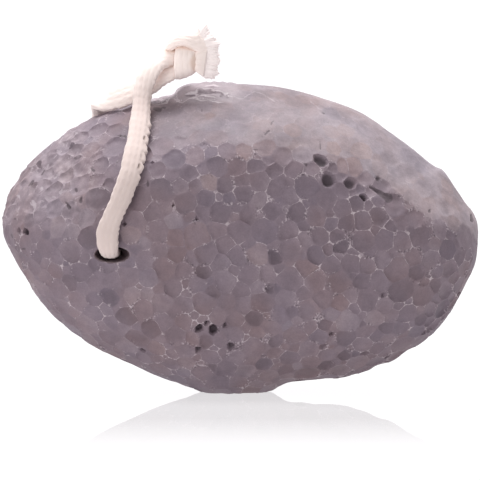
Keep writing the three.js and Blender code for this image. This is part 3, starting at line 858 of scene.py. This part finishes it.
# The lower end, from the end of the route through the knot to its frayed tip.
LOWER_END = [
    (-14.4, -3.7, 67.5, 3.7, 2.2, -0.1, -1, 0.2),
    (-12.2, -4.5, 68.2, 2.8, 2.3, 0, -1, 0),
    (-10.2, -5.3, 68.9, 2.9, 2.1, 0, -1, 0),
    (-8.7, -6.8, 69.3, 4.3, 1.6, 0, -1, 0),
    (-7.2, -6.9, 69.1, 5.2, 0.6, 0.1, -1, 0),
]

STATION_STEP = 0.17
SECTION_SIDES = 64
SECTION_ROUNDNESS = 2.5  # 2 is an ellipse, and more is squarer
WALES = 10  # columns of stitches round the tape
STITCH_LENGTH = 1.9
STITCH_HEIGHT = 0.11
LOOP_PITCH = 2.4  # the edge stitches that stand out beside the loop's front run


def unit(vectors):
    """The vectors at length 1."""
    return vectors / norm(vectors, axis=-1, keepdims=True)


# The flat side looks out of the loop, until the back run turns to lean on the stone's shoulder.
plain_points = len(CORD_ROUTE) - len(FRONT_WIDTHS) - len(BACK_WIDTHS)
route_widths = FRONT_WIDTHS + [CORD_WIDTH] * plain_points + BACK_WIDTHS
route = []
for i, (point, width) in enumerate(zip(CORD_ROUTE, route_widths)):
    leaning = ramp(i, LEAN_FROM, LEAN_TO)
    outward_look = unit(np.array(point) - LOOP_MIDDLE)
    flat_look = (1 - leaning) * outward_look + leaning * np.array(LEANING_LOOK)
    route.append((*point, width, CORD_THICKNESS, *flat_look))
tape = smooth_line(UPPER_END + route + LOWER_END, 12)
spacing = norm(np.diff(tape[:, :3], axis=0), axis=1)
tape_along = np.concatenate([[0], np.cumsum(spacing)])
cord_length = tape_along[-1]
stations = round(cord_length / STATION_STEP)
along = np.linspace(0, cord_length, stations + 1)
tape = np.stack([np.interp(along, tape_along, column) for column in tape.T], 1)
centre = tape[:, :3]
heading = unit(np.gradient(centre, axis=0))
looks = tape[:, 5:8]
looks = unit(looks - (looks * heading).sum(1)[:, None] * heading)
sideways = np.cross(heading, looks)

# The tape's section is an oblong with round edges, stepped evenly round its outline.
section_turn = np.linspace(0, 2 * math.pi, 721)
section_cos, section_sin = np.cos(section_turn), np.sin(section_turn)
section_x = np.sign(section_cos) * np.abs(section_cos) ** (2 / SECTION_ROUNDNESS) / 2
section_y = np.sign(section_sin) * np.abs(section_sin) ** (2 / SECTION_ROUNDNESS) / 2
outline_x, outline_y = section_x * CORD_WIDTH, section_y * CORD_THICKNESS
outline_steps = np.hypot(np.diff(outline_x), np.diff(outline_y))
outline_along = np.concatenate([[0], np.cumsum(outline_steps)])
steps_round = np.arange(SECTION_SIDES) / SECTION_SIDES
section_x = np.interp(steps_round * outline_along[-1], outline_along, section_x)
section_y = np.interp(steps_round * outline_along[-1], outline_along, section_y)

# Knitting: each column of stitches is a row of Vs, with a furrow between columns.
run = along[:, None]
column = (steps_round * WALES) % 1
furrow = np.abs(np.sin(math.pi * steps_round * WALES)) ** 0.6
slant = np.abs(column - 0.5)
stitch = 0.5 + 0.5 * np.cos(2 * math.pi * (run / STITCH_LENGTH + 0.9 * slant))
relief = furrow * (0.45 + 0.55 * stitch)

# Along the front run the stitches on the right-hand edge stand out as loops with slits inside.
edge_side = np.sign(section_x) * np.sign(sideways[:, :1])
edge = ramp(np.abs(section_x), 0.3, 0.5) * (edge_side > 0)
front_run = ramp(centre[:, 2], 44, 47) * ramp(-centre[:, 2], -59, -56) * (centre[:, 1] < -8)
front_run = front_run[:, None]
phase = (run / LOOP_PITCH) % 1
loop = np.abs(np.sin(math.pi * phase)) ** 0.8
bulge = edge * front_run * (0.5 * loop - 0.12)
inset = (0.5 - np.abs(section_x)) * CORD_WIDTH
open_slit = ramp(np.sin(2 * math.pi * np.floor(run / LOOP_PITCH) * 0.37), -0.6, 0.6)
slit = (
    np.exp(-((inset - 0.7) / 0.14) ** 2) * np.exp(-((phase - 0.45) / 0.2) ** 4)
    * (edge_side > 0) * open_slit * front_run
)

# The tape is a little uneven in width, and its edge a little wavy.
uneven = 1 + 0.03 * np.sin(2 * math.pi * run / 9) + 0.02 * np.sin(2 * math.pi * run / 3.7)
wavy = 0.06 * edge * np.sin(2 * math.pi * run / 1.25)
across = section_x * (tape[:, 3:4] * uneven) + np.sign(section_x) * (bulge + wavy)
raised = section_y * tape[:, 4:5]
swell = 1 + (STITCH_HEIGHT * relief - 0.3 * slit) / np.hypot(0.6 * across, raised).clip(0.6)
tape_points = (
    centre[:, None]
    + (across * swell)[..., None] * sideways[:, None]
    + (raised * swell)[..., None] * looks[:, None]
)
ring, side = np.meshgrid(np.arange(stations), np.arange(SECTION_SIDES), indexing="ij")
here = ring * SECTION_SIDES + side
next_to_it = ring * SECTION_SIDES + (side + 1) % SECTION_SIDES
tape_quads = np.stack([here, next_to_it, next_to_it + SECTION_SIDES, here + SECTION_SIDES], -1)
first_end = list(range(SECTION_SIDES))[::-1]
last_end = list(range(stations * SECTION_SIDES, (stations + 1) * SECTION_SIDES))
tape_faces = tape_quads.reshape(-1, 4).tolist() + [first_end, last_end]
cord = new_object("cotton_cord", tape_points.reshape(-1, 3), tape_faces)
cord.data.shade_smooth()

# Where one pass of the tape is pressed against another, the crease is painted darker as shade.
SPINE_STEP = 6
OTHER_PASS = 6  # farther than this along the tape is another pass of it
TUCK_REACH = 2.35
spine, spine_along = centre[::SPINE_STEP], along[::SPINE_STEP]
tucked = []
for ring_points, place_along in zip(tape_points, along):
    other_passes = spine[np.abs(spine_along - place_along) > OTHER_PASS]
    clearance = norm(ring_points[:, None] - other_passes, axis=2).min(1)
    tucked.append(ramp(TUCK_REACH - clearance, 0, 0.8))

# The cord's colour is darker below the knot in front, and lower down behind.
darker_below = np.where(centre[:, 1] < -4, 68, 57)
below_knot_share = ramp(darker_below - centre[:, 2], 0, 8)[:, None] * np.ones(SECTION_SIDES)
for name, values in [
    ("tucked", np.array(tucked)), ("relief", relief), ("slit", slit), ("below_knot_share", below_knot_share),
]:
    give(cord.data, name, "FLOAT", "POINT", values)

# Undyed cotton yarn, knitted into a flat tube: quite matt, with a little sheen from the fibres
# that stand off it. The fibres themselves are too fine to show, so their grain is drawn coarser.
FIBRE_GRAIN = 0.16
cotton, tree = new_material("undyed_cotton")
place = node(tree, "TexCoord", "Object")
stitch_height = node(tree, "Attribute", "Fac", {"attribute_name": "relief"})
slit_shade = node(tree, "Attribute", "Fac", {"attribute_name": "slit"})
region_share = node(tree, "Attribute", "Fac", {"attribute_name": "below_knot_share"})
crease_shade = node(tree, "Attribute", "Fac", {"attribute_name": "tucked"})
cloud = node(tree, "TexNoise", Vector=place, Scale=1 / (4 * MM), Detail=3)
fibre = node(tree, "TexNoise", Vector=place, Scale=1 / (FIBRE_GRAIN * MM), Detail=2)
lighter_yarn = node(tree, "Mix", 2, MIX, i0=cloud, i6=linear("#f8eae4"), i7=linear("#f0e1dc"))
darker_yarn = node(tree, "Mix", 2, MIX, i0=cloud, i6=linear("#d6c6c1"), i7=linear("#ccbbb7"))
yarn = node(tree, "Mix", 2, MIX, i0=region_share, i6=lighter_yarn, i7=darker_yarn)
# Painted shade in the furrows between the stitch columns and in the slits of the edge loops.
furrow_shade = node(tree, "MapRange", 0, SMOOTH, Value=stitch_height, i1=0, i2=0.4, i3=0.22, i4=0)
yarn = node(tree, "Mix", 2, MIX, i0=furrow_shade, i6=yarn, i7=linear("#d2bba9"))
yarn = node(tree, "Mix", 2, MIX, i0=slit_shade, i6=yarn, i7=linear("#6d5a50"))
# Painted shade in the creases where passes of the tape press together.
crease_shade = node(tree, "MapRange", Value=crease_shade, i1=0, i2=1, i3=0, i4=0.6)
yarn = node(tree, "Mix", 2, MIX, i0=crease_shade, i6=yarn, i7=linear("#d2b3a1"))
fluff = node(tree, "Bump", Strength=0.5, Distance=0.05 * MM, Height=fibre)
surface = node(
    tree, "BsdfPrincipled", Base_Color=yarn, Roughness=0.92, Specular_IOR_Level=0.2,
    Sheen_Weight=0.25, Sheen_Roughness=0.5, Normal=fluff,
)
node(tree, "OutputMaterial", Surface=surface)
cord.data.materials.append(cotton)

# The cut ends have come apart into their yarns, and the yarns into fibres.
YARNS = 36
YARN_RADIUS = 0.56
YARN_SIDES = 12
FIBRES = 10  # to a yarn
FIBRE_RADIUS = 0.05
FIBRE_SIDES = 3
STRAND_STEPS = 8
ROOT_INSET = 0.45  # from the edges of the tape
UNPICKED = 1.9  # how far back from its cut end the tape has come apart
# Where the yarn tips of each end lie, from one side of the fan to the other.
UPPER_TIPS = [
    (-9.5, -6.2, 75.3), (-8.8, -6.1, 76.4), (-8, -6, 77), (-7.3, -6, 77.1), (-6.7, -6, 76.5),
    (-6.4, -6.1, 75.1), (-5.7, -6.2, 74.6), (-5, -6.3, 74), (-4.4, -6.2, 73.2), (-4.6, -6, 72.2),
]
LOWER_TIPS = [
    (-4.9, -6.1, 72.3), (-4.4, -6, 70.8), (-4, -5.9, 69.7), (-4.9, -6, 68.4), (-4.5, -5.8, 67),
    (-5.4, -5.8, 66), (-6.7, -5.9, 66),
]


def strands(roots, directions, lengths, radii, bend, sides):
    """Tapered strands that grow from their roots: their points and faces."""
    count = len(roots)
    t = np.linspace(0, 1, STRAND_STEPS)[None, :, None]
    start = roots[:, None] + directions[:, None] * lengths[:, None, None] * t
    sway = bend[:, None] * lengths[:, None, None] * t**2
    line = start + sway
    along = unit(np.gradient(line, axis=1))
    first = unit(np.cross(along, random.normal(size=(count, 1, 3))))
    second = np.cross(along, first)
    turns = np.arange(sides) * 2 * math.pi / sides
    thick = radii[:, None, None, None] * (1 - 0.7 * t[..., None] ** 9)
    rim = np.cos(turns)[:, None] * first[:, :, None] + np.sin(turns)[:, None] * second[:, :, None]
    points = (line[:, :, None] + thick * rim).reshape(-1, 3)
    base = (np.arange(count) * STRAND_STEPS * sides)[:, None, None]
    level = (np.arange(STRAND_STEPS - 1) * sides)[None, :, None]
    here = base + level + np.arange(sides)
    after = base + level + (np.arange(sides) + 1) % sides
    quads = np.stack([here, after, after + sides, here + sides], -1)
    return points, quads.reshape(-1, 4)


def frayed_end(name, station, forward, tips):
    """The yarns and fibres that stand out of one cut end of the tape."""
    inside = station - forward * round(UNPICKED / STATION_STEP)
    flat, half = sideways[inside], tape[inside, 3] / 2
    tips = np.array(tips)
    if (tips[-1] - tips[0]) @ flat < 0:
        tips = tips[::-1]
    share = np.linspace(0, 1, YARNS)
    tip_share = np.linspace(0, 1, len(tips))
    tips = np.stack([np.interp(share, tip_share, column) for column in tips.T], 1)
    roots = centre[inside] + np.outer((half - ROOT_INSET) * (2 * share - 1), flat)
    lengths = norm(tips - roots, axis=1) + random.normal(0, 0.16, YARNS)
    directions = unit(tips - roots)
    bend = random.normal(0, 0.03, (YARNS, 3))
    yarn_radii, fibre_radii = np.full(YARNS, YARN_RADIUS), np.full(FIBRES, FIBRE_RADIUS)
    groups = [strands(roots, directions, lengths, yarn_radii, bend, YARN_SIDES)]
    for root, direction, length in zip(roots, directions, lengths):
        start = root + np.outer(random.uniform(0.6, 0.95, FIBRES) * length, direction)
        start += random.normal(0, 0.14, (FIBRES, 3))
        aim = unit(direction + random.normal(0, 0.15, (FIBRES, 3)))
        size = random.uniform(0.3, 0.75, FIBRES)
        sway = random.normal(0, 0.2, (FIBRES, 3))
        groups.append(strands(start, aim, size, fibre_radii, sway, FIBRE_SIDES))
    points, faces, count = [], [], 0
    for group_points, group_faces in groups:
        points.append(group_points)
        faces.append(group_faces + count)
        count += len(group_points)
    piece = new_object(name, np.vstack(points), np.vstack(faces).tolist())
    piece.data.shade_smooth()
    piece.data.materials.append(frayed_cotton_painted_light)
    return piece


# The same cotton where it has come apart: fluffy, and painted whiter than the knitting as painted light
# that lifts the shade among its fibres.
frayed_cotton_painted_light, tree = new_material("frayed_cotton_painted_light")
place = node(tree, "TexCoord", "Object")
cloud = node(tree, "TexNoise", Vector=place, Scale=1 / (1.5 * MM), Detail=2)
yarn = node(tree, "Mix", 2, MIX, i0=cloud, i6=linear("#fff5f3"), i7=linear("#f7eae8"))
surface = node(
    tree, "BsdfPrincipled", Base_Color=yarn, Roughness=0.95, Specular_IOR_Level=0.15,
    Sheen_Weight=0.2, Sheen_Roughness=0.5,
)
node(tree, "OutputMaterial", Surface=surface)
upper_fray = frayed_end("upper_frayed_end", 0, -1, UPPER_TIPS)
lower_fray = frayed_end("lower_frayed_end", -1, 1, LOWER_TIPS)

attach(cord, "root")
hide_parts("cord_loop", "cord_knot")
for fray in (upper_fray, lower_fray):
    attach(fray, "root")


# --------------------------------------------------------------
# The setting: a white sheet on the floor that bends up to a wall behind the stone, soft studio
# light, and a long lens that looks straight at the stone's working face. The sheet is polished
# near the stone, so it gives back a faint mirror image that fades away.
# --------------------------------------------------------------

FLOOR_FRONT, FLOOR_MIDDLE, FLOOR_BACK = -4000, -900, 260
BEND_RADIUS, BEND_STEPS = 200, 12
WALL_TOP = 900
FLOOR_HALF_WIDTH, WALL_HALF_WIDTH = 4000, 900
FLOOR_GAP = 0.01  # between the stone's flat and the sheet

profile = [(FLOOR_FRONT, 0), (FLOOR_MIDDLE, 0), (FLOOR_BACK, 0)]
for i in range(1, BEND_STEPS + 1):
    bend = math.radians(90 * i / BEND_STEPS)
    rise = BEND_RADIUS - BEND_RADIUS * math.cos(bend)
    profile.append((FLOOR_BACK + BEND_RADIUS * math.sin(bend), rise))
profile.append((FLOOR_BACK + BEND_RADIUS, WALL_TOP))
sheet_points = []
for y, z in profile:
    wide = FLOOR_HALF_WIDTH if z == 0 else WALL_HALF_WIDTH
    sheet_points += [(-wide, y, z - FLOOR_GAP), (wide, y, z - FLOOR_GAP)]
sheet_faces = [(2 * i, 2 * i + 1, 2 * i + 3, 2 * i + 2) for i in range(len(profile) - 1)]
floor_piece = new_object("studio_sweep", sheet_points, sheet_faces)
floor_piece.data.shade_smooth()

# Glossy white plastic, lit evenly from within so that it stays white. Its polish fades out in
# front of the stone, behind it and beside it.
white_sheet, tree = new_material("polished_white_sheet")
place = node(tree, "TexCoord", "Object")
white = node(
    tree, "BsdfPrincipled", Base_Color=(0.1, 0.1, 0.1, 1), Roughness=0.9, Specular_IOR_Level=0,
    Emission_Color=(1, 0.985, 1, 1), Emission_Strength=0.93,
)
gloss = node(tree, "BsdfGlossy", Color=(1, 0.98, 0.99, 1), Roughness=0.02)
forward = node(tree, "SeparateXYZ", "Y", Vector=place)
front_polish = node(tree, "MapRange", Value=forward, i1=-60 * MM, i2=-128 * MM, i3=0.31, i4=0)
back_polish = node(tree, "MapRange", Value=forward, i1=10 * MM, i2=50 * MM, i3=1, i4=0)
aside = node(tree, "SeparateXYZ", "X", Vector=place)
aside = node(tree, "Math", 0, UNSIGNED, i0=aside)
side_polish = node(tree, "MapRange", Value=aside, i1=80 * MM, i2=180 * MM, i3=1, i4=0)
polish = node(tree, "Math", 0, TIMES, i0=front_polish, i1=back_polish)
polish = node(tree, "Math", 0, TIMES, i0=polish, i1=side_polish)
sheet = node(tree, "MixShader", Fac=polish, i1=white, i2=gloss)

# From its back the sheet is clear, so the wall doesn't hide the stone from behind.
from_back = node(tree, "NewGeometry", "Backfacing")
clear = node(tree, "BsdfTransparent")
surface = node(tree, "MixShader", Fac=from_back, i1=sheet, i2=clear)
node(tree, "OutputMaterial", Surface=surface)
floor_piece.data.materials.append(white_sheet)

world = bpy.data.worlds.new("studio_air")
bpy.context.scene.world = world
world.use_nodes = True
air = world.node_tree.nodes["Background"]
air.inputs["Color"].default_value = (1, 0.985, 0.98, 1)
air.inputs["Strength"].default_value = 0.42


def softbox(name, place, target, width, height, power):
    """A rectangular soft light at a place in millimetres that faces the target."""
    lamp = bpy.data.lights.new(name, "AREA")
    lamp.shape = "RECTANGLE"
    lamp.size, lamp.size_y = width * MM, height * MM
    lamp.energy = power
    light = bpy.data.objects.new(name, lamp)
    light.location = Vector(place) * MM
    light.rotation_mode = "QUATERNION"
    light.rotation_quaternion = (Vector(target) - Vector(place)).to_track_quat("-Z", "Y")
    bpy.context.scene.collection.objects.link(light)


STONE_MIDDLE = (0, 0, 30)
WALL_MIDDLE = (0, 460, 200)
softbox("top_light", (-30, 40, 420), STONE_MIDDLE, 420, 320, 0.29)
softbox("backdrop_light", (0, 100, 700), WALL_MIDDLE, 900, 300, 9)
softbox("front_light", (-440, -530, 180), STONE_MIDDLE, 500, 500, 2.08)

SENSOR_WIDTH = 36
FIELD_WIDTH = 100.8  # what the lens takes in at the stone
camera_data = bpy.data.cameras.new("camera")
camera_data.sensor_width = SENSOR_WIDTH
camera_data.lens = SENSOR_WIDTH * VIEW_DISTANCE / FIELD_WIDTH
camera = bpy.data.objects.new("camera", camera_data)
camera.location = (
    0,
    -VIEW_DISTANCE * MM * math.cos(VIEW_LEAN),
    (VIEW_HEIGHT + VIEW_DISTANCE * math.sin(VIEW_LEAN)) * MM,
)
camera.rotation_euler = (math.pi / 2 - VIEW_LEAN, 0, 0)
bpy.context.scene.collection.objects.link(camera)
bpy.context.scene.camera = camera
bpy.context.scene.view_settings.view_transform = "Standard"
